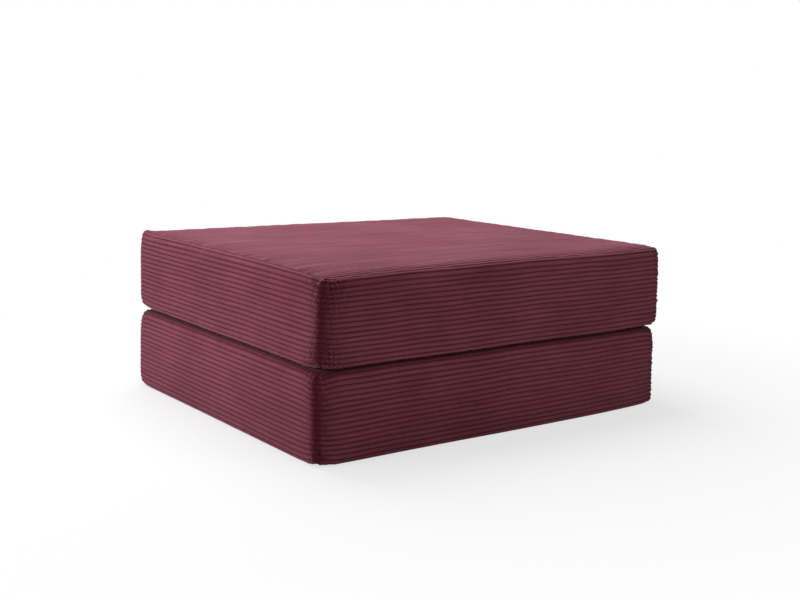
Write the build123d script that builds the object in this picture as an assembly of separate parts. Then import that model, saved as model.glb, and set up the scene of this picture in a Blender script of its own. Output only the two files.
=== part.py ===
from build123d import *
import os

# Fold-out ottoman guest bed: two thick corduroy slabs, joined by a cloth hinge along one end,
# that lie one on the other as an ottoman and open out end to end as a single bed.
# Millimetres. X runs along the ottoman with the hinge at +X, Y runs across with the zips at +Y,
# Z is up. The origin is on the floor under the middle of the folded ottoman.

# The ottoman, folded, over the crests of the cloth
folded_length = 950.0
bed_width = 800.0
folded_height = 370.0
corner_radius = 20.0

# The slabs: seams drawn in all round, and panels that crown up from them
seam_inset = 4.0
crown_reach = 60.0
crown_shares = (0.0, 0.28, 0.6, 1.0)
floor_press = 0.5
soft_gap = 0.3

# The corduroy: thickness of the cloth in a valley, and its wales
cloth = 2.5
wale_depth = 1.5
wale_count = 17
# A wale's rounded ridge, in four flats: shares of the way across it, and of its depth
ridge_shares = ((0.0, 0.0), (0.2, 0.8), (0.5, 1.0), (0.8, 0.8))

# How far an end band wraps round on to the back, where the zip starts
band_tail = 45.0

# The cloth hinge
strip_thickness = 1.0
strip_setback = 5.0

# The zip: two tapes, each with a row of teeth on its edge
tape_width = 13.0
tape_thickness = 0.8
tape_tuck = 8.0
row_width = 2.2
row_height = 2.2
row_round = 0.5
stop_length = 3.0
stop_plate = 0.8
stop_clearance = 0.1

# The slider, which straddles both rows
slider_length = 12.0
slider_plate = 0.8
slider_flange = 1.0
mouth_flare = 0.4
slider_round = 1.5
post_length = 3.5
post_width = 1.0
side_clearance = 0.3
lift_clearance = 0.2
slider_margin = 0.5

# The bail on the slider and the pull that swings in it
bail_span = 7.3
bail_wall = 0.9
bail_width = 1.8
bail_round = 0.8
pull_length = 24.0
pull_width = 6.0
pull_thickness = 1.1
pull_round = 2.0
pull_clearance = 0.25
eye_clearance = 0.4
eye_length = 4.6

# Spare length of a cutting shape, past the piece that it cuts
overrun = 5.0

# What follows from these sizes
fold_height = folded_height / 2
slab_height = fold_height - soft_gap / 2
slab_middle = slab_height / 2
straight_length = folded_length - 2 * corner_radius
straight_width = bed_width - 2 * corner_radius
tail_edge = straight_length / 2 - band_tail
top_seam = slab_height - seam_inset
band_low = seam_inset + soft_gap
band_high = slab_height - band_low

row_inner = post_width / 2 + side_clearance
row_outer = row_inner + row_width
channel_half_width = row_outer + side_clearance
channel_half_height = row_height / 2 + lift_clearance
slider_half_height = channel_half_height + slider_plate
slider_half_width = channel_half_width + slider_flange
mouth_half_width = slider_half_width + mouth_flare
zip_opening = 2 * (mouth_half_width + slider_margin)

zip_depth = wale_depth + cloth + soft_gap + tape_thickness / 2
zip_plane = bed_width / 2 - zip_depth
zip_end = tail_edge - soft_gap
closed_at = -(zip_end - stop_length - side_clearance - slider_length / 2)
open_at = zip_end - pull_length
foam_inset = max(seam_inset + cloth, zip_depth + slider_half_height) + soft_gap

# The turn that a band takes to a front corner's seam, and round a whole back corner, in flats
whole_turn = 90
seam_turn = whole_turn // 2
flat_turn = 15
up = (0, 0, 1)
down = (0, 0, -1)


def draw_in(height):
    """How far the valleys of a band lie inside the crests, at a height on the slab."""
    from_middle = abs(height - slab_middle) / (slab_middle - seam_inset)
    return wale_depth + (seam_inset - wale_depth) * from_middle**2


def out_at(height, depth=0):
    """Distance from a corner's upright axis to a band's valley line, or to a depth inside it."""
    return corner_radius - draw_in(height) - depth


def band_face(high, wales, high_mitre):
    """Section through a band from its lower seam to a height: out from a corner's axis, and up.

    The cloth is cut at 45 degrees where it turns in at a seam, and square where the mitre is 0.
    """
    pitch = (high - band_low) / wales
    outside = []
    for n in range(wales):
        for across, lift in ridge_shares:
            height = band_low + pitch * (n + across)
            outside.append((out_at(height) + wale_depth * lift, height))
    outside.append((out_at(high), high))
    inner_low = band_low + cloth
    inner_high = high - high_mitre
    middle = (inner_low + inner_high) / 2
    bottom = (out_at(band_low, cloth), inner_low)
    top = (out_at(high, cloth), inner_high)
    inside = ThreePointArc(bottom, (out_at(middle, cloth), middle), top)
    return make_face([Polyline(bottom, *outside, top), inside])


def section_at(face, x, y, outward):
    """A band's section stood upright on a corner's axis, facing outward."""
    facing = Vector(outward)
    return Plane(origin=(x, y, 0), x_dir=facing, z_dir=facing.cross(Vector(up))) * face


def turned(section, x, y, axis, turn):
    """A band's turn about a corner's upright axis, in flats from section to section."""
    steps = turn // flat_turn
    corner = Axis((x, y, 0), axis)
    return loft([section.rotate(corner, flat_turn * n) for n in range(steps + 1)], ruled=True)


def front_band():
    x, y = straight_length / 2, -straight_width / 2
    face = band_face(band_high, wale_count, cloth)
    left = section_at(face, -x, y, (0, -1, 0))
    right = section_at(face, x, y, (0, -1, 0))
    run = extrude(left, straight_length, dir=(1, 0, 0))
    return run + turned(left, -x, y, down, seam_turn) + turned(right, x, y, up, seam_turn)


def end_band():
    """The band of the open end: from the front corner's seam, round the back corner, to its tail."""
    x, y = -straight_length / 2, straight_width / 2
    face = band_face(band_high, wale_count, cloth)
    front = section_at(face, x, -y, (-1, 0, 0))
    back = section_at(face, x, y, (-1, 0, 0))
    tail = section_at(face, x, y, (0, 1, 0))
    run = extrude(front, straight_width, dir=(0, 1, 0))
    front_turn = turned(front, x, -y, up, seam_turn)
    back_turn = turned(back, x, y, down, whole_turn)
    return run + front_turn + back_turn + extrude(tail, band_tail, dir=(1, 0, 0))


def zip_strip():
    """The strip of band between the lower seam and the zip, which lies between the two tails."""
    face = band_face(slab_middle - zip_opening / 2, (wale_count - 1) // 2, 0)
    start = section_at(face, -zip_end, straight_width / 2, (0, 1, 0))
    return extrude(start, 2 * zip_end, dir=(1, 0, 0))


def crown(distance, rise):
    """Height of a panel above its seam, at a distance in from it."""
    share = min(distance / crown_reach, 1)
    return rise * (1 - (1 - share) ** 2)


def ring(inset, height):
    """A rounded rectangle round the slab, at a height, its sides inset from the crests."""
    flat_share = max(inset - seam_inset, 0) / crown_reach
    radius = (corner_radius - seam_inset) * (1 + flat_share)
    outline = RectangleRounded(folded_length - 2 * inset, bed_width - 2 * inset, radius)
    return Pos(0, 0, height) * outline


def crown_rings(first_inset, rise, sink):
    """Rings from the edge of a crown to its flat, sunk below the outside of the panel."""
    last_inset = seam_inset + crown_reach
    rings = []
    for share in crown_shares:
        inset = first_inset + (last_inset - first_inset) * share
        rings.append(ring(inset, top_seam - sink + crown(inset - seam_inset, rise)))
    return rings


def panel(rise):
    """A crowned panel on top of the slab, its edge cut at 45 degrees to meet the bands."""
    outside = crown_rings(seam_inset, rise, 0)
    inside = crown_rings(seam_inset + cloth, rise, cloth)
    shell = loft([inside[0]] + outside, ruled=True)
    return shell - loft(inside, ruled=True)


def pressed(shape):
    """A slab's upper panel with its crown pressed flat at the slab's full height."""
    slice_above = Box(folded_length, bed_width, overrun, align=(Align.CENTER, Align.CENTER, Align.MIN))
    return shape - Pos(0, 0, slab_height) * slice_above


def foam_core():
    """The foam block, cut square at its sides and crowned under both panels."""
    sink = cloth + soft_gap
    upper = crown_rings(foam_inset, seam_inset, sink)
    lower = [mirror(each, Plane.XY.offset(slab_middle)) for each in upper]
    return loft(lower[::-1] + upper, ruled=True)


def zip_tapes():
    """Two flat tapes, from each row of teeth to behind the strip that it is sewn to."""
    length = 2 * (tail_edge + tape_tuck)
    tape = Box(length, tape_thickness, tape_width)
    offset = row_outer + tape_width / 2
    return Part() + [Pos(0, 0, -offset) * tape, Pos(0, 0, offset) * tape]


def zip_teeth():
    """The two rows of teeth, each one rounded bead with room between them for the slider's post."""
    bead = fillet(Rectangle(row_height, row_width).vertices(), row_round)
    row = extrude(Plane.YZ * bead, zip_end, both=True)
    offset = row_inner + row_width / 2
    return Part() + [Pos(0, 0, -offset) * row, Pos(0, 0, offset) * row]


def zip_stop():
    """A stop clamped across both rows: a plate on each side and a web between the rows."""
    half_gap = row_height / 2 + stop_clearance
    plate = Box(stop_length, stop_plate, 2 * row_outer)
    offset = half_gap + stop_plate / 2
    web = Box(stop_length, 2 * half_gap, 2 * (row_inner - stop_clearance))
    return web + Pos(0, -offset, 0) * plate + Pos(0, offset, 0) * plate


def zip_stops():
    """One stop where the slider parks closed, and one where it parks open."""
    closed = closed_at - slider_length / 2 - side_clearance - stop_length / 2
    opened = open_at + slider_length / 2 + side_clearance + stop_length / 2
    return Part() + [Pos(closed, 0, 0) * zip_stop(), Pos(opened, 0, 0) * zip_stop()]


def slider():
    """The slider: two flanged plates round both rows, a post between the rows, and a bail."""
    half = slider_length / 2
    corners = [(-half, -mouth_half_width), (half, -slider_half_width),
               (half, slider_half_width), (-half, mouth_half_width)]
    outline = make_face(Polyline(*corners, close=True))
    outline = fillet(outline.vertices(), slider_round)
    body = extrude(Plane.XZ * outline, slider_half_height, both=True)
    channel = Box(slider_length + overrun, 2 * channel_half_height, 2 * channel_half_width)
    slot_height = tape_thickness + 2 * soft_gap
    tape_slot = Box(slider_length + overrun, slot_height, 2 * mouth_half_width + overrun)
    post_outline = SlotOverall(post_length, post_width)
    post = extrude(Plane.XZ * post_outline, channel_half_height, both=True)
    body = body - channel - tape_slot + Pos((post_length - slider_length) / 2, 0, 0) * post
    return body + bail()


def pull_height():
    """Height of the pull's bar above the middle of the tapes."""
    return slider_half_height + pull_clearance + pull_thickness / 2


def bail():
    """The arch on the slider's outer plate that holds the pull's bar."""
    inner_height = pull_thickness + 2 * pull_clearance
    low = slider_half_height - slider_plate / 2
    high = slider_half_height + inner_height + bail_wall
    arch = Pos(0, (low + high) / 2) * Rectangle(bail_span, high - low)
    arch = fillet(arch.vertices().sort_by(Axis.Y)[-2:], bail_round)
    opening = Rectangle(bail_span - 2 * bail_wall, inner_height, align=(Align.CENTER, Align.MIN))
    return extrude(arch - Pos(0, slider_half_height) * opening, bail_width / 2, both=True)


def pull():
    """The pull, lying flat towards +X from its round bar under the bail."""
    tab = Rectangle(pull_length, pull_width, align=(Align.MIN, Align.CENTER))
    tab = fillet(tab.vertices().sort_by(Axis.X)[-2:], pull_round)
    window = Rectangle(eye_length, bail_width + 2 * eye_clearance, align=(Align.MIN, Align.CENTER))
    plate = extrude(Plane.XZ * (tab - window), pull_thickness / 2, both=True)
    return plate + Cylinder(pull_thickness / 2, pull_width)


def hinge_strip():
    """The cloth hinge, half a tube bulging outward between the seams that it joins."""
    outer = seam_inset + soft_gap / 2 - soft_gap
    tube = Circle(outer) - Circle(outer - strip_thickness)
    half = tube - Rectangle(2 * outer, 2 * outer, align=(Align.MAX, Align.CENTER))
    length = straight_width / 2 - strip_setback
    strip = extrude(Plane.XZ * half, length, both=True)
    return Pos(folded_length / 2 - seam_inset, 0, fold_height) * strip


def lower_slab():
    """Every piece of the lower slab, by name."""
    flip = Plane.XY.offset(slab_middle)
    strip = zip_strip()
    ends = end_band()
    at_zip = Pos(0, zip_plane, slab_middle)
    at_slider = Pos(closed_at, zip_plane, slab_middle)
    return {
        "foam_core": foam_core(),
        "sleep_panel": panel(seam_inset),
        "outer_panel": mirror(pressed(panel(seam_inset + floor_press)), flip),
        "front_band": front_band(),
        "end_band": ends,
        "hinge_band": mirror(ends, Plane.YZ),
        "zip_strip_outer": strip,
        "zip_strip_inner": mirror(strip, flip),
        "zip_tapes": at_zip * zip_tapes(),
        "zip_teeth": at_zip * zip_teeth(),
        "zip_stops": at_zip * zip_stops(),
        "zip_slider": at_slider * slider(),
        "zip_pull": at_slider * Pos(0, pull_height(), 0) * pull(),
    }


def write(name, shape):
    shape.label = name
    export_step(shape, os.path.join("parts", name + ".step"))


os.makedirs("parts", exist_ok=True)
for name, shape in lower_slab().items():
    write("lower_" + name, shape)
    write("upper_" + name, mirror(shape, Plane.XY.offset(fold_height)))
write("fold_hinge_strip", hinge_strip())

print("The fold's axis runs across at X", folded_length / 2 + soft_gap, "and Z", fold_height)
print("A slider runs from X", closed_at, "to", open_at, "at Z", slab_middle, "on a slab")
print("A pull's bar stands at Y", zip_plane + pull_height())
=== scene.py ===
import math

import bmesh
import bpy
import numpy as np
from mathutils import Matrix, Vector


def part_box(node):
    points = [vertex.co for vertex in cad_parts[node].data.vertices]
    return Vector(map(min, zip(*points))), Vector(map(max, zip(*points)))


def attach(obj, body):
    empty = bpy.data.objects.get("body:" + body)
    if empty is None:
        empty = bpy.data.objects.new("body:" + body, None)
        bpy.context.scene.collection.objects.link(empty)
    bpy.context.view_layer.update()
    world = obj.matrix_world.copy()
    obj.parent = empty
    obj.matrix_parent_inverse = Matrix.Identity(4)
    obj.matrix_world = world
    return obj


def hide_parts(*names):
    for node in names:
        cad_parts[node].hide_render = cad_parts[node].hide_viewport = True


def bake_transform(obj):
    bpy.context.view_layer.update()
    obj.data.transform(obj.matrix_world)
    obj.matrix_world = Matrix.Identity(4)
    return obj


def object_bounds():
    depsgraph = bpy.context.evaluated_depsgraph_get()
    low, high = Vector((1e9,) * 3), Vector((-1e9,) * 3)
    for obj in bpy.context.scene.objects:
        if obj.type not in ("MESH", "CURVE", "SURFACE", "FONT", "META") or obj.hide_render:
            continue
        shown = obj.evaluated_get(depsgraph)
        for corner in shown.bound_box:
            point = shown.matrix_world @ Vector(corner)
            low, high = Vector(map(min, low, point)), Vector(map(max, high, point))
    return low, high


# Fold-out ottoman guest bed: two foam slabs in jumbo corduroy covers, stacked, with a cloth hinge
# along the +X end. X runs along the wales of the panels, Y across with the zips at +Y, Z is up.
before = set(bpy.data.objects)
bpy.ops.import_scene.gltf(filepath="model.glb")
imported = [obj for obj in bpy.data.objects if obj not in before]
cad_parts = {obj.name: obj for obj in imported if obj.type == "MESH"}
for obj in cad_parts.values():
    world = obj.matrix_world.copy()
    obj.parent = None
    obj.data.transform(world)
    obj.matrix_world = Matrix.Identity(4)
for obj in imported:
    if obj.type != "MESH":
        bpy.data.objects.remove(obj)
cad_box = [list(corner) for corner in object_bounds()]


# Foam cores
# Each slab is one block of open-cell upholstery foam, cut with a hot wire, its upright corners
# trimmed so that they don't strain the seams. Under its tight cover it lies a little off square.
half_length, half_width, ottoman_height = cad_box[1]
slab_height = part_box("lower_sleep_panel")[1][2]
slab_base = {"lower": 0, "upper": ottoman_height - slab_height}
slabs = ("lower", "upper")

# Where each slab's corners lie off square, in millimetres: bottom then top, front then back,
# open end then hinge end. The back corners hardly move, because the zips run straight there.
askew = {
    "lower": [[[(-3, -1, -4), (1, 0, -4)], [(-1, 0, -4), (0, 0, -4)]],
              [[(-6, 3, 0), (-1, 3, -1)], [(2, 0, 2), (0, 0, 0)]]],
    "upper": [[[(2, 0, -2), (2, -2, -1)], [(3, 0, 2), (0, 0, 0)]],
              [[(6, -2, -4), (1, 2, 2)], [(4, 0, 2), (0, 0, 4)]]],
}
# The cloth pulls the corners in, over this reach, by so much at a slab's lower and upper face.
# One corner, at the back of the open end, stands up as an ear instead.
corner_reach = 0.032
corner_lift = {"lower": (0.008, -0.007), "upper": (0.008, 0.0)}
ear_lift, ear_reach = 0.009, 0.024
# How far the top slumps where people sit down, and how widely: the front corner of the open end,
# and the whole front edge
slump, slump_reach = 0.006, 0.14
front_slump, front_slump_reach = 0.0035, 0.025
# How far the lower slab's front edge bows out on the floor, most towards the hinge end
front_bow = 0.011
# How near the back the zip holds a slab at half height, and over what width that fades out
zip_hold, zip_hold_fade = 0.030, 0.020
# How far the slabs' sides and top wander, the lengths of the waves, and their seeds
side_wander, side_wave, upright_wave = 0.0007, 0.8, 0.5
top_wander, top_wave = 0.0006, 0.7
side_seed, top_seed = {"lower": 1, "upper": 3}, 5
# How far from the zips and the hinge the wandering starts, over what width it grows, and up to
# what height the floor holds it back
calm_back, calm_back_fade = 0.02, 0.2
calm_hinge, calm_hinge_fade = 0.01, 0.1
floor_hold = 0.1


def ripple(seed, *coordinates, waves=7):
    """A smooth, uneven wave of about plus or minus 1, over coordinates in wavelengths."""
    dice = np.random.default_rng(seed)
    total = 0
    for _ in range(waves):
        turns = dice.normal(size=len(coordinates)) * 2 * math.pi
        phase = dice.uniform(0, 2 * math.pi)
        total = total + np.sin(sum(t * c for t, c in zip(turns, coordinates)) + phase)
    return total / math.sqrt(waves / 2)


def settled(points, slab):
    """Points of a slab as it lies in use, from points of the square slab (N x 3, metres)."""
    x, y, z = points.T
    along = (x + half_length) / (2 * half_length)
    across = (y + half_width) / (2 * half_width)
    rise = np.clip((z - slab_base[slab]) / slab_height, 0, 1)
    shift = np.zeros_like(points)
    for top, faces in enumerate(askew[slab]):
        for back, edges in enumerate(faces):
            for end, offset in enumerate(edges):
                share = ((rise if top else 1 - rise) * (across if back else 1 - across)
                         * (along if end else 1 - along))
                shift += share[:, None] * np.array(offset) / 1000
    # At half height the back stays where its zip is
    at_back = np.clip((y - half_width + zip_hold) / zip_hold_fade, 0, 1)
    shift[:, 2] *= 1 - at_back * (1 - np.abs(2 * rise - 1))
    moved = points + shift
    from_corner = np.hypot(half_length - np.abs(x), half_width - np.abs(y))
    low_lift, high_lift = corner_lift[slab]
    lift = low_lift * (1 - rise) ** 2 + high_lift * rise ** 2
    moved[:, 2] += lift * np.exp(-((from_corner / corner_reach) ** 2))
    if slab == "lower":
        moved[:, 1] -= front_bow * (1 - rise) * (1 - across) ** 2 * np.sin(math.pi * along ** 2)
    else:
        ear = ear_lift * np.exp(-((from_corner / ear_reach) ** 2)) * rise ** 4
        moved[:, 2] += ear * (x < 0) * (y > 0)
        from_slump = np.hypot(half_length + x, half_width + y)
        moved[:, 2] -= rise ** 2 * (slump * np.exp(-from_slump / slump_reach) + front_slump
                                    * np.exp(-(half_width + y) / front_slump_reach))
    # The zips and the hinge run straight, so the cloth is calm there
    calm = (np.clip((half_width - calm_back - y) / calm_back_fade, 0, 1)
            * np.clip((half_length - calm_hinge - x) / calm_hinge_fade, 0, 1))
    seed = side_seed[slab]
    moved[:, 0] += side_wander * ripple(seed, y / side_wave, z / upright_wave) * calm
    moved[:, 1] += side_wander * ripple(seed + 1, x / side_wave, z / upright_wave) * calm
    moved[:, 2] += (top_wander * ripple(top_seed, x / top_wave, y / side_wave) * calm
                    * np.clip(z / floor_hold, 0, 1))
    moved[:, 2] = np.maximum(moved[:, 2], 0)
    return moved


def mesh_from(shape, mesh_name):
    """A mesh of a finished bmesh, which is freed."""
    mesh = bpy.data.meshes.new(mesh_name)
    shape.to_mesh(mesh)
    shape.free()
    return mesh


def placed(object_name, data):
    """A new object of a mesh, lamp or camera, in the scene."""
    made = bpy.data.objects.new(object_name, data)
    bpy.context.collection.objects.link(made)
    return made


def finished(mesh, material, body):
    """An object of a mesh and with its name, in its finish, riding on its slab."""
    piece = placed(mesh.name, mesh)
    mesh.materials.append(material)
    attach(piece, body)
    return piece


class Wire:
    """A shader socket that Python's operators work on, each adding a Math node."""

    def __init__(self, tree, socket=None):
        self.tree, self.socket = tree, socket

    def node(self, kind, inputs, out=0, **settings):
        """Any node: its settings come first, then the values or wires of its sockets."""
        made = self.tree.nodes.new(kind)
        for name, value in settings.items():
            setattr(made, name, value)
        for name, value in inputs.items():
            if isinstance(value, Wire):
                self.tree.links.new(value.socket, made.inputs[name])
            else:
                made.inputs[name].default_value = value
        return Wire(self.tree, made.outputs[out] if len(made.outputs) else None)

    def math(self, operation, *others):
        return self.node("ShaderNodeMath", dict(enumerate((self, *others))), operation=operation)

    def __add__(self, other):
        return self.math("ADD", other)

    def __sub__(self, other):
        return self.math("SUBTRACT", other)

    def __rsub__(self, other):
        return self.node("ShaderNodeMath", {0: other, 1: self}, operation="SUBTRACT")

    def __mul__(self, other):
        return self.math("MULTIPLY", other)

    __radd__, __rmul__ = __add__, __mul__

    def clipped(self, low, high):
        """0 below low and 1 above high, smooth between them."""
        return self.node("ShaderNodeMapRange", {"Value": self, "From Min": low, "From Max": high},
                         interpolation_type="SMOOTHSTEP")

    def mix(self, first, second):
        """A colour between two, by this wire's value."""
        return self.node("ShaderNodeMix", {"Factor": self, 6: first, 7: second}, out=2,
                         data_type="RGBA")

    def bump(self, strength, distance):
        """The normal of a surface whose height is this wire's value."""
        return self.node("ShaderNodeBump", {"Height": self, "Strength": strength,
                                            "Distance": distance})


def new_finish(finish_name):
    """A new material, the wire that its nodes start from, and the place on the object."""
    material = bpy.data.materials.new(finish_name)
    material.use_nodes = True
    material.node_tree.nodes.clear()
    wire = Wire(material.node_tree)
    return material, wire, wire.node("ShaderNodeTexCoord", {}, out="Object")


def surface(wire, **sockets):
    """The shader and the output that close a material."""
    names = {name.replace("_", " "): value for name, value in sockets.items()}
    shader = wire.node("ShaderNodeBsdfPrincipled", names)
    wire.node("ShaderNodeOutputMaterial", {"Surface": shader})


foam, wire, place = new_finish("upholstery_foam")
cells = wire.node("ShaderNodeTexVoronoi", {"Vector": place, "Scale": 900.0})
clouds = wire.node("ShaderNodeTexNoise", {"Vector": place, "Scale": 9.0, "Detail": 3.0})
pale, cream = (0.86, 0.82, 0.70, 1), (0.76, 0.70, 0.56, 1)
surface(wire, Base_Color=(cells.clipped(0.1, 0.6) * 0.4 + clouds * 0.6).mix(pale, cream),
        Roughness=0.95,
        Normal=cells.bump(strength=0.5, distance=0.0006))

# How much smaller the block is than its CAD solid, so that the cover clears it, how much its
# upright corners are trimmed, and how round its rims are
foam_ease, foam_trim, foam_round = 0.014, 0.022, 0.012
# An edge is sharp where its faces turn by more than this, in radians, and upright where it rises
# by more than this
sharp_turn, upright_rise = 1, 0.001
for slab in slabs:
    low, high = (Vector(corner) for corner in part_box(slab + "_foam_core"))
    block = bmesh.new()
    bmesh.ops.create_cube(block, size=1)
    bmesh.ops.scale(block, verts=block.verts, vec=high - low - Vector((foam_ease,) * 3))
    bmesh.ops.translate(block, verts=block.verts, vec=(low + high) / 2)
    bmesh.ops.subdivide_edges(block, edges=block.edges, cuts=5, use_grid_fill=True)
    sharp = [edge for edge in block.edges if edge.calc_face_angle() > sharp_turn]
    upright = [edge for edge in sharp
               if abs(edge.verts[0].co.z - edge.verts[1].co.z) > upright_rise]
    bmesh.ops.bevel(block, geom=upright, offset=foam_trim, segments=4, profile=0.5,
                    affect="EDGES", material=-1)
    rims = [edge for edge in block.edges if edge.calc_face_angle() > sharp_turn]
    bmesh.ops.bevel(block, geom=rims, offset=foam_round, segments=3, profile=0.5,
                    affect="EDGES", material=-1)
    square = np.array([vertex.co for vertex in block.verts])
    for vertex, point in zip(block.verts, settled(square, slab)):
        vertex.co = point
    core = finished(mesh_from(block, slab + "_foam_block"), foam, slab + "_half")
    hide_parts(slab + "_foam_core")


# Outer panels
# The top of the ottoman and its underside: one rectangle of jumbo corduroy each, its wales along
# the length, sewn to the bands face to face and turned. It crowns a little over the foam.
corner_radius = 0.020
# How far from the middle a slab's sides run straight, before they turn round a corner
straight_x, straight_y = half_length - corner_radius, half_width - corner_radius
# How far a seam lies inside the slab's sides: the outer seam of the lower slab, which stands on
# the floor, is pressed out
seam_inset = {"lower": {"outer": 0.0040, "sleep": 0.0110},
              "upper": {"outer": 0.0100, "sleep": 0.0065}}
panel_wales = 76
# A wale's depth, how steeply its ridge falls to the valleys, and how far from a seam it starts
wale_depth, ridge_power, wale_start = 0.0017, 2.3, 0.003
# How unevenly the wales are worn, and the waves of the wear: along, and across in wales
wear, wear_wave, wear_wales = 0.22, 0.30, 5
# How far a wale wanders from straight, its waves along and across, and how far from a seam it
# has its full play
wale_wander, wale_wave, wale_wave_across, wander_start = 0.0005, 0.35, 0.06, 0.02
# How far a seam lies below the crown of its panel
seam_drop = {"lower": {"outer": 0.0026, "sleep": 0.0028},
             "upper": {"outer": 0.0042, "sleep": 0.0014}}
# How far in from its seam a panel's crown rises, what share of the rise that is, and over what
# width the rest rolls up from the seam
crown_reach, crown_share, seam_roll = 0.060, 0.35, 0.013
# How far a panel that is off the floor dips and wanders, and its waves along and across
hollow, hollow_wave, hollow_wave_across = 0.0006, 0.8, 0.6
# How much fuller the wales beside a panel's long seams stand up, and over what width
edge_puff, edge_puff_reach = 1.6, 0.018
# Gathers all along a panel's seam, and others at its front corners: how deep, their waves along
# the seam and in from it, how far they reach, and how soon they start
edge_gather, edge_wave, edge_wave_in = 0.0009, 0.024, 0.09
edge_reach, edge_start = 0.013, 0.004
corner_gather, corner_wave, corner_wave_in = 0.0012, 0.012, 0.05
corner_run, corner_run_in, corner_start = 0.045, 0.012, 0.002
# How deep and how wide the cloth dips into a seam, and into a front corner's upright seam, and
# how far in over a panel the corner's dip reaches
seam_pinch, seam_groove = 0.0015, 0.0014
corner_pinch, corner_groove, corner_dip_reach = 0.0060, 0.0100, 0.009
# By how much of its depth, and how far up, the floor presses that upright seam out
floor_press, floor_press_reach = 0.75, 0.015
# How far the painted shade of a seam's crease and of an upright seam's puckers reaches, and how
# strong it is. The lower slab's top edge lies in the upper one's shade.
crease = {"lower": {"outer": 0.0030, "sleep": 0.0062},
          "upper": {"outer": 0.0013, "sleep": 0.0020}}
crease_shade = {"outer": 0.6, "sleep": 0.95}
pucker, pucker_shade = 0.0120, 1.4
corner_shade, corner_shade_reach = 0.28, 0.045
# How far the cloth is tucked in behind a seam, and how many wales that takes up
tuck, tuck_wales = 0.003, 0.3
# Shares of the way across a wale where the cloth has a row of points, from valley to valley. A
# cut edge has one more row, cut_row wales in from it, and no other within cut_gap wales.
wale_rows = (0.0, 0.10, 0.22, 0.36, 0.50, 0.64, 0.78, 0.90)
cut_row, cut_gap = 0.05, 0.09
# How far from the seams at the wales' ends a panel has columns of points: closest where the cloth
# rolls, then even where it gathers. Its middle has so many steps.
seam_columns = ([0, 0.0005, 0.0011, 0.0020, 0.0032] + [0.0050 + 0.0023 * n for n in range(18)]
                + [0.052, 0.061])
middle_columns = 88


def ridge(across):
    """Height of a wale's rounded ridge, 0 to 1, at shares of the way across wales."""
    from_top = np.abs(2 * (across % 1) - 1)
    return 1 - from_top ** ridge_power


def relief(seed, along, across, from_seam):
    """Depth of the wales at points of the cloth: worn uneven along them, and flat at a seam."""
    worn = 1 + wear * ripple(seed, along / wear_wave, across / wear_wales)
    return wale_depth * worn * (ridge(across) - 1) * (1 - np.exp(-from_seam / wale_start))


def groove(from_seam, depth, width):
    """How far the cloth dips into a seam, at distances from it."""
    return depth * np.exp(-((from_seam / width) ** 2))


def crumpled(seed, depth, places, fade, start):
    """Gathers in the cloth, at places in wavelengths.

    fade is how far they have died away there, and start how far they have begun.
    """
    return depth * ripple(seed, *places, waves=9) * np.exp(-fade) * (1 - np.exp(-start))


def corner_dip(slab, to_corner, from_outer):
    """How far the cloth dips into a front corner's upright seam, at heights from the outer face."""
    pressed_out = floor_press * np.exp(-from_outer / floor_press_reach) if slab == "lower" else 0
    return groove(to_corner, corner_pinch * (1 - pressed_out), corner_groove)


def crease_painted_shade(slab, side, from_seam):
    """How dark the painted shade along a seam is, 0 to 1, at distances from it."""
    return crease_shade[side] * np.exp(-((from_seam / crease[slab][side]) ** 2))


def painted_seam_shade(crease_here, to_corner):
    """How dark the painted shade is, 0 to 1, with that of an upright seam's puckers at distances
    from it.
    """
    close = np.maximum(crease_here, pucker_shade * np.exp(-to_corner / pucker))
    return np.minimum(close + corner_shade * np.exp(-to_corner / corner_shade_reach), 1)


def wale_stations(first, last):
    """Where rows of points run, counted in wales, on cloth that is cut at first and last."""
    between = [n + share for n in range(math.ceil(last)) for share in wale_rows
               if first + cut_gap < n + share < last - cut_gap]
    return [first, first + cut_row] + between + [last - cut_row, last]


def laid_cloth(piece_name, columns, rows, across, place_cloth, slab, outward):
    """A grid of cloth with a point at each column and row, put in place and settled.

    columns and across give the UV: metres along the wales, and wales across them. outward is a
    direction that the cloth's right side faces, or None where it faces away from the slab.
    """
    grid = bmesh.new()
    bmesh.ops.create_grid(grid, x_segments=len(columns) - 1, y_segments=len(rows) - 1, size=0.5)
    mesh = mesh_from(grid, piece_name)
    unit = np.empty(len(mesh.vertices) * 3)
    mesh.vertices.foreach_get("co", unit)
    unit = unit.reshape(-1, 3)
    column = np.rint((unit[:, 0] + 0.5) * (len(columns) - 1)).astype(int)
    row = np.rint((unit[:, 1] + 0.5) * (len(rows) - 1)).astype(int)
    square, painted_shade = place_cloth(np.array(columns)[column], np.array(rows)[row])
    mesh.vertices.foreach_set("co", settled(square, slab).ravel())
    corners = np.empty(len(mesh.loops), dtype=np.int32)
    mesh.loops.foreach_get("vertex_index", corners)
    flat = np.stack([np.array(columns)[column], np.array(across)[row]], axis=1)
    mesh.uv_layers.new(name="cloth").data.foreach_set("uv", flat[corners].ravel())
    # Each point's painted shade, 0 to 1, which the corduroy mixes into its colour
    mesh.attributes.new("painted_shade", "FLOAT", "POINT").data.foreach_set("value", painted_shade)
    mesh.polygons.foreach_set("use_smooth", [True] * len(mesh.polygons))
    mesh.update()
    normals = np.empty(len(mesh.polygons) * 3)
    mesh.polygons.foreach_get("normal", normals)
    centres = np.empty(len(mesh.polygons) * 3)
    mesh.polygons.foreach_get("center", centres)
    facing = np.array(outward) if outward else centres.reshape(-1, 3) * (1, 1, 0)
    if (normals.reshape(-1, 3) * facing).sum() < 0:
        mesh.flip_normals()
    return mesh


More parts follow.
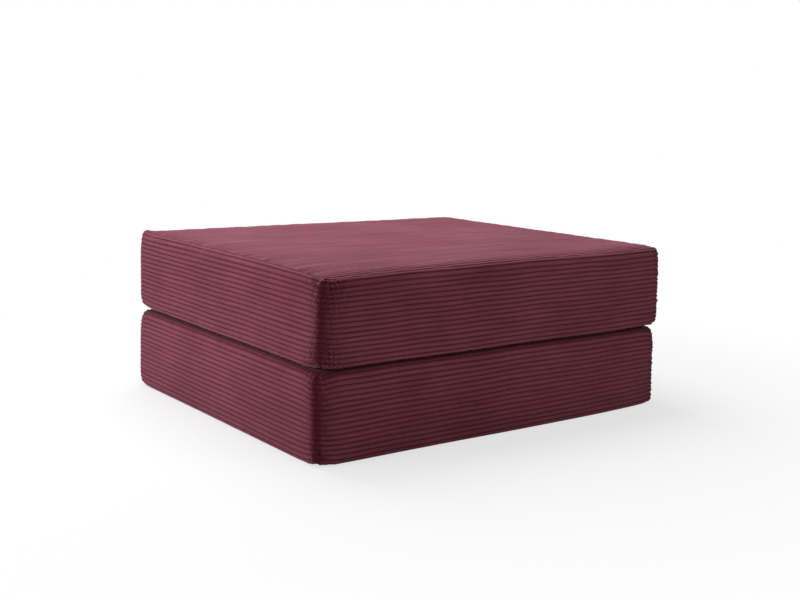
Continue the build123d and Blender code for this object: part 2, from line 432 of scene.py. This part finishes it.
def panel_inside(x, y, seam_radius):
    """How far points of a panel lie inside its seam, a rectangle with rounded corners."""
    reach_x, reach_y = np.abs(x) - straight_x, np.abs(y) - straight_y
    outside = np.hypot(np.maximum(reach_x, 0), np.maximum(reach_y, 0))
    return seam_radius - outside - np.minimum(np.maximum(reach_x, reach_y), 0)


def front_seam(x, y):
    """Distance along the sides from a front corner's upright seam, at points near the edge."""
    over_x, over_y = np.abs(x) - straight_x, -y - straight_y
    turned = np.arctan2(np.maximum(over_y, 0), np.maximum(over_x, 0)) - math.pi / 4
    return corner_radius * np.abs(turned) + np.maximum(-over_x, 0) + np.maximum(-over_y, 0)


def panel(slab, side, flat, seed):
    """A panel's mesh. side is outer or sleep, and a flat one lies squashed on the floor."""
    inset = seam_inset[slab][side]
    seam_radius = corner_radius - inset
    seam_x, seam_y = half_length - inset, half_width - inset
    pitch = 2 * seam_y / panel_wales
    wales = wale_stations(0, panel_wales)
    rows = [-seam_y - tuck] + [-seam_y + pitch * wale for wale in wales] + [seam_y + tuck]
    across = [-tuck_wales] + wales + [panel_wales + tuck_wales]
    middle = seam_x - seam_columns[-1]
    columns = ([-seam_x - tuck] + [-seam_x + gap for gap in seam_columns]
               + [-middle + 2 * middle * n / middle_columns for n in range(1, middle_columns)]
               + [seam_x - gap for gap in seam_columns[::-1]] + [seam_x + tuck])
    up = (side == "outer") == (slab == "upper")
    rise, base = seam_drop[slab][side], slab_base[slab]

    def place_panel(u, v):
        held_x, held_y = np.clip(u, -seam_x, seam_x), np.clip(v, -seam_y, seam_y)
        beyond = np.abs(u - held_x) + np.abs(v - held_y)
        turn = np.clip((np.abs(held_y) - (seam_y - seam_radius)) / seam_radius, 0, 1)
        x = held_x * (1 - seam_radius * (1 - np.sqrt(1 - turn ** 2)) / seam_x)
        inside = np.maximum(panel_inside(x, held_y, seam_radius), 0)
        y = held_y + (wale_wander * ripple(seed + 2, x / wale_wave, held_y / wale_wave_across)
                      * np.minimum(inside / wander_start, 1))
        share = np.clip(inside / crown_reach, 0, 1)
        height = rise * (crown_share * (1 - (1 - share) ** 2)
                         + (1 - crown_share) * (1 - np.exp(-inside / seam_roll)) - 1)
        puff = 1 + edge_puff * np.exp(-(((seam_y - np.abs(held_y)) / edge_puff_reach) ** 2))
        height = height + relief(seed, x, (held_y + seam_y) / pitch, inside) * puff
        at_side = half_length - np.abs(x) < half_width - np.abs(y)
        edge_run = np.where(at_side, y, x)
        height = height + crumpled(seed + 3, edge_gather,
                                   (edge_run / edge_wave, inside / edge_wave_in),
                                   inside / edge_reach, inside / edge_start)
        to_corner = front_seam(x, held_y)
        height = height + crumpled(seed + 5, corner_gather,
                                   (edge_run / corner_wave, inside / corner_wave_in),
                                   to_corner / corner_run + inside / corner_run_in,
                                   inside / corner_start)
        if not flat:
            wander = ripple(seed + 4, x / hollow_wave, y / hollow_wave_across) - 1
            height = height + hollow * wander * share
        dip = groove(inside, seam_pinch, seam_groove) + beyond
        from_outer = 0 if side == "outer" else slab_height
        drawn = dip + corner_dip(slab, to_corner, from_outer) * np.exp(-inside / corner_dip_reach)
        reach_x = np.maximum(np.abs(x) - straight_x, 0)
        reach_y = np.maximum(np.abs(held_y) - straight_y, 0)
        span = np.maximum(np.hypot(reach_x, reach_y), 1e-6)
        x = x - np.sign(x) * drawn * reach_x / span
        y = y - np.sign(y) * drawn * reach_y / span
        height = height - dip
        z = base + slab_height + height if up else base - height
        # Painted shade along the seam and towards a front corner
        dark = painted_seam_shade(crease_painted_shade(slab, side, inside), to_corner + inside)
        return np.stack([x, y, z], axis=1), dark

    return laid_cloth(slab + "_" + side + "_cloth", columns, rows, across, place_panel, slab,
                      (0, 0, 1) if up else (0, 0, -1))


corduroy, wire, place = new_finish("jumbo_corduroy")
flat_place = wire.node("ShaderNodeUVMap", {}, uv_map="cloth")
# Painted shade carried by each cloth mesh: at seams, corners, hems and the slabs' gap
painted_shade = wire.node("ShaderNodeAttribute", {}, out="Fac", attribute_name="painted_shade")
wale = wire.node("ShaderNodeSeparateXYZ", {"Vector": flat_place}, out="Y")


def stretched(along, across, detail):
    """Noise drawn out along the wales: sizes in waves per metre along, and per wale across."""
    drawn = wire.node("ShaderNodeVectorMath", {0: flat_place, 1: (along, across, 1.0)},
                      operation="MULTIPLY")
    return wire.node("ShaderNodeTexNoise", {"Vector": drawn, "Scale": 1.0, "Detail": detail,
                                            "Roughness": 0.6})


streaks = stretched(along=7.0, across=1.1, detail=4.0)
pile = stretched(along=700.0, across=9.0, detail=2.0)
crushed = stretched(along=60.0, across=2.0, detail=3.0)
brushed = wire.node("ShaderNodeTexNoise", {"Vector": place, "Scale": 6.0, "Detail": 4.0,
                                           "Roughness": 0.55})
# Towards a wale's valley the colour turns to the ground's, which is partly painted shade in the
# groove
from_crest = (wale.math("FRACT") - 0.5).math("ABSOLUTE") * 2
valley = (from_crest + (crushed - 0.5) * 0.35).clipped(0.30, 1.1)
# The pile's colour where it is fresh and where it is rubbed, the ground between the wales with
# painted shade in the grooves, the painted shade of seams, corners and gaps, and the sheen on top
fresh, rubbed = (0.150, 0.034, 0.050, 1), (0.225, 0.058, 0.083, 1)
groove_ground_and_shade, painted_shade_colour = (0.062, 0.005, 0.012, 1), (0.032, 0.001, 0.005, 1)
sheen = (0.85, 0.43, 0.54, 1)
tone = streaks * 0.40 + brushed * 0.40 + pile * 0.20
cloth_colour = tone.clipped(0.34, 0.66).mix(fresh, rubbed)
# Where the painted shade is set, the colour goes towards the painted shade colour
surface(wire,
        Base_Color=(painted_shade * 0.85).mix((valley * 0.85).mix(cloth_colour, groove_ground_and_shade), painted_shade_colour),
        Roughness=0.92, Sheen_Weight=0.62, Sheen_Roughness=0.36, Sheen_Tint=sheen,
        Specular_IOR_Level=0.1,
        Normal=(pile * 0.7 + crushed * 0.6).bump(strength=0.4, distance=0.0006))


def sewn_on(slab, mesh, node):
    """A piece of a slab's cover, in place of its CAD node."""
    piece = finished(mesh, corduroy, slab + "_half")
    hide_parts(slab + "_" + node)


for slab, seed in (("lower", 12), ("upper", 11)):
    sewn_on(slab, panel(slab, "outer", slab == "lower", seed), "outer_panel")


# Sleep panels
# The same corduroy on the faces that meet when the ottoman is folded. Opened out, the two lie
# side by side as the bed's surface. Their wales end at the seam of the open end.
for slab, seed in (("lower", 14), ("upper", 13)):
    sewn_on(slab, panel(slab, "sleep", False, seed), "sleep_panel")


# Front bands
# The ribbed band along the long front side of each slab, its wales running round the slab. It is
# sewn to the end bands in upright seams at the front corners, where the cloth puckers.

# Where the cloth is cut, in wales from the outer seam to the sleep seam
band_cuts = {"lower": (0.0, 17.8), "upper": (0.4, 18.0)}
# How far a band stands out, and how near the hinge end it starts to be pressed in instead
band_bulge, press_reach = 0.0015, 0.05
# How far a band's edge is drawn in, from close to the seam or, at a lower power, from further off
edge_draw = 0.0040
gentle_power, firm_power = 3.2, 8
# How far from its edge a band's first wale rolls on round to the seam
edge_roll = {"lower": {"outer": 0.0045, "sleep": 0.0120},
             "upper": {"outer": 0.0060, "sleep": 0.0032}}
# A band's gathers: puckers across its upright seams, ones that fan out along the other seams
# beside them, and shallow ones all along. Each has a depth, waves, reaches and a start.
pucker_depth, pucker_wave, pucker_wave_along = 0.0015, 0.016, 0.05
pucker_reach, pucker_start = 0.013, 0.003
fan_depth, fan_wave, fan_wave_up = 0.0010, 0.0075, 0.06
fan_reach, fan_run, fan_start = 0.020, 0.028, 0.002
seam_gather, seam_gather_reach = 0.0005, 0.014
# How far from a front corner the painted shade beside the gathers reaches and how strong it is, at
# any height and more at the seams, where it reaches further. The hinge end has a smaller share.
gather_reach = {"front": 0.055, "end": 0.037}
gather_shade = {"front": 0.45, "end": 1.0}
gather_base = {"front": 0.35, "end": 0.15}
gather_rise = {"lower": 0.5, "upper": 1.9}
gather_seam_reach, gather_widening, hinge_end_share = 0.030, 0.35, 0.3
# That shade's mean, how far it varies about it, and in waves of what length
patch_mean, patch_play, patch_wave = 0.7, 0.4, 0.012
# How much sooner than on a panel a corner seam's own shade ends
seam_shade = {"front": 1.35, "end": 1.15}
# Steps between a band's columns of points, and the columns beside an upright seam
straight_step, turn_step = 0.007, 0.0016
beside_seam = [-tuck, 0.0008] + [0.017 + 0.0018 * n for n in range(12)]
# How far in from its edge a hem has painted shade
hem_shade = 0.0015


def band_edges(slab):
    """Heights of a band's outer and sleep seams, from the slab's outer face."""
    return seam_drop[slab]["outer"], slab_height - seam_drop[slab]["sleep"]


def band_bow(slab, x, high):
    """How far a band stands out from the slab's side, at heights from the slab's outer face.

    At the hinge end it is pushed in as much, because the two slabs meet there when opened.
    """
    bulge = band_bulge * (2 * np.clip((half_length - x) / press_reach, 0, 1) - 1)
    low, top = band_edges(slab)
    share = np.abs(2 * (high - low) / (top - low) - 1)
    firm = share ** firm_power
    gentle = share ** gentle_power if slab == "upper" else firm
    draw = np.where(high - low < top - high, gentle, firm)
    inset, reach = seam_inset[slab], edge_roll[slab]
    roll = ((inset["outer"] - edge_draw) * np.exp(-(high - low) / reach["outer"])
            + (inset["sleep"] - edge_draw) * np.exp(-(top - high) / reach["sleep"]))
    return bulge - (edge_draw + bulge) * draw - roll


def hem_painted_shade(to_edge):
    """How dark the painted shade at a hem is, 0 to 1, at distances from its edge."""
    return np.exp(-((np.maximum(to_edge, 0) / hem_shade) ** 2))


def band_path(distance, lengths, heading):
    """Points and outward directions along a band's line: alternate turns and straights.

    lengths gives each straight as its start and length, or a turn as its centre and an angle in
    degrees, and heading is the outward direction's angle at the start.
    """
    x = np.zeros_like(distance)
    y = np.zeros_like(distance)
    facing = np.zeros_like(distance)
    done, angle = 0.0, heading
    for kind, at_x, at_y, size in lengths:
        size_along = size if kind == "straight" else corner_radius * math.radians(size)
        here = (distance >= done - 1e-9) & (distance <= done + size_along + 1e-9)
        local = distance[here] - done
        if kind == "straight":
            x[here] = at_x - math.sin(angle) * local
            y[here] = at_y + math.cos(angle) * local
            facing[here] = angle
        else:
            turned = angle + local / corner_radius
            x[here] = at_x + corner_radius * np.cos(turned)
            y[here] = at_y + corner_radius * np.sin(turned)
            facing[here] = turned
            angle += math.radians(size)
        done += size_along
    return x, y, facing


def band_columns(lengths, end_seam):
    """Distances along a band's line: close at seams and turns, about 7 mm apart on straights."""
    stations, done = [0.0], 0.0
    for kind, _, _, size in lengths:
        size_along = size if kind == "straight" else corner_radius * math.radians(size)
        steps = round(size_along / (straight_step if kind == "straight" else turn_step))
        stations += [done + size_along * (n + 1) / steps for n in range(steps)]
        done += size_along
    stations += beside_seam
    if end_seam:
        stations += [done - gap for gap in beside_seam]
    else:
        stations += [done - hem_shade * 2, done - hem_shade / 2, done + tuck]
    return sorted(stations), done


def band(slab, piece_name, lengths, heading, seed, mirrored, side):
    """A band's mesh, from its line round the slab. A front band has a seam at both its ends."""
    end_seam = side == "front"
    columns, total = band_columns(lengths, end_seam)
    band_low, band_high = band_edges(slab)
    first, last = band_cuts[slab]
    band_pitch = (band_high - band_low) / (last - first)
    wales = wale_stations(first, last)
    rows = [band_low + band_pitch * (wale - first) for wale in wales]
    rows = [band_low - tuck] + rows + [band_high + tuck]
    across = [first - tuck_wales] + wales + [last + tuck_wales]

    def place_band(distance, high):
        past = np.maximum(-distance, 0) + np.maximum(distance - total, 0)
        distance = np.clip(distance, 0, total)
        x, y, facing = band_path(distance, lengths, heading)
        held = np.clip(high, band_low, band_high)
        beyond = np.abs(high - held)
        from_seam = np.minimum(held - band_low, band_high - held)
        to_corner = np.minimum(distance, total - distance) if end_seam else distance
        either = np.minimum(from_seam, to_corner)
        wale = first + (held - band_low) / band_pitch
        out = band_bow(slab, -x if mirrored else x, held) + relief(seed, distance, wale, either)
        out = out + crumpled(seed + 1, pucker_depth,
                             (held / pucker_wave, distance / pucker_wave_along),
                             to_corner / pucker_reach, either / pucker_start)
        out = out + crumpled(seed + 3, fan_depth, (distance / fan_wave, held / fan_wave_up),
                             from_seam / fan_reach + to_corner / fan_run, either / fan_start)
        out = out + crumpled(seed + 2, seam_gather, (distance / edge_wave,),
                             from_seam / seam_gather_reach, either / edge_start)
        dip = groove(from_seam, seam_pinch, seam_groove) + beyond
        out = out - dip - corner_dip(slab, to_corner, held - band_low) - past
        sag = wale_wander * ripple(seed + 4, distance / wale_wave, held / wale_wave_across)
        z = (held + sag * np.minimum(either / wander_start, 1)
             - np.sign(held - slab_height / 2) * dip)
        z = z if slab == "lower" else ottoman_height - z
        x = x + out * np.cos(facing)
        y = y + out * np.sin(facing)
        world_x = -x if mirrored else x
        # Painted shade along the seams, beside the front corners' gathers, and at a hem
        crease_here = np.maximum(crease_painted_shade(slab, "outer", held - band_low),
                                 crease_painted_shade(slab, "sleep", band_high - held))
        by_seam = np.exp(-from_seam / gather_seam_reach)
        widened = gather_reach[side] * (1 + gather_widening * by_seam)
        gather_painted_shade = (gather_shade[side] * (gather_base[side] + gather_rise[slab] * by_seam)
                   * np.where(world_x < 0, 1, hinge_end_share)
                   * np.exp(-((to_corner / widened) ** 2)))
        shade_patches = ripple(seed + 6, held / patch_wave, distance / patch_wave)
        dark = (painted_seam_shade(crease_here, to_corner * seam_shade[side])
                + gather_painted_shade * (patch_mean + patch_play * shade_patches))
        if not end_seam:
            dark = np.maximum(dark, hem_painted_shade(total - distance))
        return np.stack([world_x, y, z], axis=1), np.clip(dark, 0, 1)

    return laid_cloth(piece_name, columns, rows, across, place_band, slab, None)


front_line = [("turn", -straight_x, -straight_y, 45),
              ("straight", -straight_x, -half_width, 2 * straight_x),
              ("turn", straight_x, -straight_y, 45)]
for slab, seed in (("lower", 24), ("upper", 21)):
    cloth = band(slab, slab + "_front_cloth", front_line, math.radians(225), seed, False, "front")
    sewn_on(slab, cloth, "front_band")


# End bands and hinge bands
# The bands of the open end and the hinge end. Each starts at a front corner's seam and wraps
# round the whole back corner on to the back, where its hemmed tail covers the end of the zip.
band_tail = 0.045
end_line = [("turn", straight_x, -straight_y, 45),
            ("straight", half_length, -straight_y, 2 * straight_y),
            ("turn", straight_x, straight_y, 90),
            ("straight", straight_x, half_width, band_tail)]
for slab in slabs:
    for end, mirrored in (("hinge", False), ("end", True)):
        piece_name = slab + "_" + end + "_cloth"
        seed = {"lower": 30, "upper": 40}[slab] + (0 if mirrored else 5)
        cloth = band(slab, piece_name, end_line, math.radians(-45), seed, mirrored, "end")
        sewn_on(slab, cloth, end + "_band")


# Zip strips
# The back band is two strips with a full-length zip between them. Each strip's edge along the
# zip is folded in and sewn down on the tape.

# The gap between the strips' folded edges, and a hair's breadth between a strip and a tail
zip_opening, tail_gap = 0.0116, 0.0002
strip_wales, strip_columns = 8, 92
strip_seed, strip_fill = 50, 0.9
strip_half = straight_x - band_tail - tail_gap
# A strip's ends run in under the tails: from how far on to how far, and how deep
under_tail, under_tail_depth = (0.0001, 0.004), 0.0035
# The folded edge's rows of points: how far past the strip's depth each lies, how far in from its
# face, and how many wales on
hem_rows = ((0.0002, 0.0009, 0.1), (0.0004, 0.0021, 0.2), (-0.004, 0.0026, 0.6))
# How far a strip ripples, the length of its waves, and how far from its seam that starts
strip_ripple, strip_wave, strip_start = 0.0003, 0.03, 0.004


def zip_strip(slab, piece_name, side):
    """A strip between the outer or sleep seam and the zip, with its folded edge."""
    band_low, band_high = band_edges(slab)
    strip_depth = (slab_height - zip_opening) / 2 - seam_drop[slab][side]
    strip_pitch = strip_depth / strip_wales
    wales = wale_stations(0, strip_wales)
    columns = [-strip_half + 2 * strip_half * n / strip_columns for n in range(strip_columns + 1)]
    ends = [strip_half + gap for gap in (-hem_shade * 2, -hem_shade / 2, *under_tail)]
    columns = sorted(columns + ends + [-x for x in ends])
    rows = [-tuck] + [strip_pitch * wale for wale in wales]
    rows += [strip_depth + past for past, _, _ in hem_rows]
    across = [-tuck_wales] + wales + [strip_wales + on for _, _, on in hem_rows]
    folds = np.array([0.0] * (len(rows) - len(hem_rows)) + [fold for _, fold, _ in hem_rows])
    depths = np.array(rows)

    def place_strip(x, depth):
        held = np.clip(depth, 0, strip_depth)
        row = np.abs(depth[:, None] - depths[None, :]).argmin(axis=1)
        dip = groove(held, seam_pinch, seam_groove) + np.clip(-depth, 0, None)
        high = seam_drop[slab][side] + np.where(folds[row] > 0, depth, held)
        high = high if side == "outer" else slab_height - high
        bow = band_bow(slab, x, np.clip(high, band_low, band_high))
        out = bow + relief(strip_seed, x, held / strip_pitch, held) - dip
        out = out - folds[row] + (strip_ripple * ripple(strip_seed, x / strip_wave)
                                  * (1 - np.exp(-held / strip_start)))
        out = out - np.where(np.abs(x) > strip_half, under_tail_depth, 0)
        high = high + dip if side == "outer" else high - dip
        z = high if slab == "lower" else ottoman_height - high
        # Painted shade along the seam and at the hems
        dark = np.maximum(crease_painted_shade(slab, side, held), hem_painted_shade(strip_half - np.abs(x)))
        return np.stack([x, half_width + out, z], axis=1), dark

    return laid_cloth(piece_name, columns, rows, across, place_strip, slab, (0, 1, 0))


for slab in slabs:
    for strip, side in (("outer", "outer"), ("inner", "sleep")):
        cloth = zip_strip(slab, slab + "_zip_" + strip + "_cloth", side)
        sewn_on(slab, cloth, "zip_strip_" + strip)


# Zip tapes
# Two woven polyester tapes to a zip, dyed to match, with the teeth on their inner edges. The
# weave is a fine twill.
tape_finish, wire, place = new_finish("woven_tape")
twill = wire.node("ShaderNodeMapping", {"Vector": place, "Rotation": (0, math.radians(40), 0)})
weave = wire.node("ShaderNodeTexWave", {"Vector": twill, "Scale": 420.0, "Distortion": 0.6},
                  bands_direction="X")
tape_dark, tape_light = (0.085, 0.020, 0.032, 1), (0.150, 0.042, 0.062, 1)
surface(wire, Base_Color=weave.mix(tape_dark, tape_light),
        Roughness=0.8, Normal=weave.bump(strength=0.5, distance=0.0003))


def refinished(node, material):
    """Give a CAD node a material in place of its own."""
    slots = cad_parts[node].data.materials
    slots.clear()
    slots.append(material)


for slab in slabs:
    refinished(slab + "_zip_tapes", tape_finish)


# Zip teeth
# A coil of nylon on each tape's edge, whose heads lock across the middle. One tooth of each row
# is made, and the pair is repeated along the zip.
tooth_pitch = 0.0016
# A tooth's size along the zip, out of it and across it, its bevel, and how far above or below the
# middle of the zip its row lies
tooth_size = (tooth_pitch * 0.42, 0.0021, 0.0031)
tooth_round, row_offset = 0.00022, 0.00125
tooth_finish, wire, place = new_finish("nylon_teeth")
moulding = wire.node("ShaderNodeTexNoise", {"Vector": place, "Scale": 300.0, "Detail": 2.0})
nylon_dark, nylon_light = (0.090, 0.022, 0.034, 1), (0.130, 0.036, 0.052, 1)
surface(wire, Base_Color=moulding.mix(nylon_dark, nylon_light),
        Roughness=moulding * 0.2 + 0.35)
for slab in slabs:
    low, high = (Vector(corner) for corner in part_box(slab + "_zip_teeth"))
    middle = (low + high) / 2
    teeth = bmesh.new()
    for side in (-1, 1):
        tooth = bmesh.new()
        bmesh.ops.create_cube(tooth, size=1)
        bmesh.ops.scale(tooth, verts=tooth.verts, vec=tooth_size)
        bmesh.ops.bevel(tooth, geom=list(tooth.edges), offset=tooth_round, segments=1, profile=0.5,
                        affect="EDGES", material=-1)
        # One row stands half a pitch further on than the other
        shift = tooth_pitch * (0.25 + 0.25 * side)
        start = Vector((low.x + tooth_pitch + shift, middle.y, middle.z + side * row_offset))
        bmesh.ops.translate(tooth, verts=tooth.verts, vec=start)
        single = mesh_from(tooth, "one_tooth")
        teeth.from_mesh(single)
        bpy.data.meshes.remove(single)
    row_of_teeth = finished(mesh_from(teeth, slab + "_coil_teeth"), tooth_finish, slab + "_half")
    repeat = row_of_teeth.modifiers.new("repeat", "ARRAY")
    repeat.use_relative_offset = False
    repeat.use_constant_offset = True
    repeat.constant_offset_displace = (tooth_pitch, 0, 0)
    repeat.count = int((high.x - low.x) / tooth_pitch) - 1
    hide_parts(slab + "_zip_teeth")


# Zip stops, sliders and pulls
# Die-cast and stamped metal with a worn gunmetal plating: brighter in patches where it is rubbed,
# and finely scuffed all over.
gunmetal, wire, place = new_finish("gunmetal_plating")
tarnish = wire.node("ShaderNodeTexNoise", {"Vector": place, "Scale": 240.0, "Detail": 4.0})
scuffs = wire.node("ShaderNodeTexNoise", {"Vector": place, "Scale": 1500.0, "Detail": 2.0})
dull, bright = (0.20, 0.19, 0.19, 1), (0.36, 0.34, 0.33, 1)
surface(wire, Base_Color=tarnish.mix(dull, bright), Metallic=1.0,
        Roughness=tarnish * 0.2 + scuffs * 0.1 + 0.2,
        Normal=scuffs.bump(strength=0.2, distance=0.0001))
for slab in slabs:
    for part in ("_zip_stops", "_zip_slider", "_zip_pull"):
        refinished(slab + part, gunmetal)


# Cloth hinge
# A strip of plain cloth, its edges sewn into the facing seams of the two hinge bands. Folded, it
# bulges outward between them, and opened it is drawn flat across the joint of the bed.
hinge_cloth, wire, place = new_finish("hinge_canvas")
threads = wire.node("ShaderNodeTexWave", {"Vector": place, "Scale": 300.0, "Distortion": 0.5},
                    bands_direction="Y")
canvas_dark, canvas_light = (0.070, 0.014, 0.023, 1), (0.125, 0.030, 0.045, 1)
surface(wire, Base_Color=threads.mix(canvas_dark, canvas_light),
        Roughness=0.85, Specular_IOR_Level=0.2,
        Normal=threads.bump(strength=0.4, distance=0.0003))
low, high = (Vector(corner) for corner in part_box("fold_hinge_strip"))
bulge = (high.z - low.z) / 2
# How deep the bulge is as a share of that, two waves in its depth, and how far its ends lie in
bulge_depth, bulge_inset = 0.93, 0.0006
slow_wave, slow_turns = 0.05, 37
quick_wave, quick_turns = 0.02, 101
# The strip runs in from the bulge's ends to the two seams, in so many steps
hems = [low.x - (half_length - seam_inset[slab]["sleep"]) for slab in slabs]
hem_steps, strip_turns, strip_count = 3, 16, 80
strip_steps = strip_turns + 2 * hem_steps
strip = bmesh.new()
bmesh.ops.create_grid(strip, x_segments=strip_steps, y_segments=strip_count, size=0.5)
for vertex in strip.verts:
    step = round((vertex.co.x + 0.5) * strip_steps) - hem_steps
    turned = min(max(step, 0), strip_turns)
    turn = math.pi * (turned / strip_turns - 0.5)
    hem = abs(step - turned) / hem_steps * hems[step > turned]
    along = vertex.co.y
    reach = bulge * (bulge_depth + slow_wave * math.sin(along * slow_turns)
                     + quick_wave * math.sin(along * quick_turns + 1))
    vertex.co = (low.x - hem + reach * math.cos(turn), low.y + (high.y - low.y) * (along + 0.5),
                 (low.z + high.z) / 2 + (bulge - bulge_inset) * math.sin(turn))
mesh = mesh_from(strip, "hinge_cloth")
mesh.polygons.foreach_set("use_smooth", [True] * len(mesh.polygons))
mesh.materials.append(hinge_cloth)
hinge = placed("hinge_cloth", mesh)
if sum(face.normal.x for face in mesh.polygons) < 0:
    mesh.flip_normals()
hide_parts("fold_hinge_strip")
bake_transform(hinge)
math.pi * bulge * bulge_depth + sum(hems)


# Studio
# A plain white sweep under soft light: a large one above, one from the open end, and a weak one
# in front, so that the top is lightest and the long front is in shade.
floor_finish, wire, place = new_finish("white_sweep")


def seen_directly(wire):
    """1 for rays from the eye or by way of a mirror or glass, and 0 for the light that lights."""
    rays = wire.node("ShaderNodeLightPath", {}).socket.node.outputs
    seen, mirrored, through = (Wire(wire.tree, rays["Is " + ray + " Ray"])
                               for ray in ("Camera", "Glossy", "Transmission"))
    return (seen + mirrored + through).math("MINIMUM", 1.0)


away = wire.node("ShaderNodeVectorMath", {0: place}, out="Value", operation="LENGTH")
# The floor is a little grey beside the ottoman and white further off
near_white, fade_start, fade_end = 0.65, 0.5, 1.5
white = away.clipped(fade_start, fade_end) * (1 - near_white) + near_white
paper = wire.node("ShaderNodeBsdfDiffuse", {"Color": (0.85, 0.85, 0.85, 1)})
glow = wire.node("ShaderNodeEmission", {"Color": (1, 1, 1, 1), "Strength": 1.0})
mixed = wire.node("ShaderNodeMixShader", {0: seen_directly(wire) * white, 1: paper, 2: glow})
wire.node("ShaderNodeOutputMaterial", {"Surface": mixed})
sweep = bmesh.new()
bmesh.ops.create_grid(sweep, x_segments=1, y_segments=1, size=12)
mesh = mesh_from(sweep, "floor")
mesh.materials.append(floor_finish)
floor = placed("floor", mesh)
# It lies just under the cloth, so that neither shows through the other
floor.location.z = -0.0005

# The room is white where it is seen, and lights the ottoman at a lower level
room_light = 0.25
world = bpy.data.worlds.new("white_room")
bpy.context.scene.world = world
world.use_nodes = True
world.node_tree.nodes.clear()
wire = Wire(world.node_tree)
strength = seen_directly(wire) * (1 - room_light) + room_light
room = wire.node("ShaderNodeBackground", {"Color": (1, 1, 1, 1), "Strength": strength})
wire.node("ShaderNodeOutputWorld", {"Surface": room})

# The lights point at the middle of the ottoman
aim = Vector((0, 0, 0.2))


def soft_light(light_name, position, size, power):
    """A square soft box, aimed at the middle of the ottoman."""
    lamp = bpy.data.lights.new(light_name, "AREA")
    lamp.shape, lamp.size, lamp.energy = "SQUARE", size, power
    box = placed(light_name, lamp)
    box.location = position
    box.rotation_euler = (aim - Vector(position)).to_track_quat("-Z", "Y").to_euler()


soft_light("overhead", (-0.1, 1.0, 2.2), size=1.8, power=54.5)
soft_light("open_end", (-2.5, 0.0, 1.2), size=1.4, power=30.5)
soft_light("front_fill", (0.6, -1.9, 2.2), size=1.4, power=9.6)

# The camera looks from the front and the open end, a little from above
camera_place = Vector((-1.5835, -2.1029, 0.6585))
yaw, pitch, roll = math.radians(37.175), math.radians(-9.378), math.radians(1.394)
ahead = Vector((math.cos(pitch) * math.sin(yaw), math.cos(pitch) * math.cos(yaw), math.sin(pitch)))
level = ahead.cross(Vector((0, 0, 1))).normalized()
right = level * math.cos(roll) + level.cross(ahead) * math.sin(roll)
upward = right.cross(ahead)
camera = placed("camera", bpy.data.cameras.new("camera"))
camera.data.sensor_width = 36
camera.data.lens = 50.74
camera.matrix_world = (Matrix.Translation(camera_place)
                       @ Matrix((right, upward, -ahead)).transposed().to_4x4())
bpy.context.scene.camera = camera
bpy.context.scene.view_settings.view_transform = "Standard"
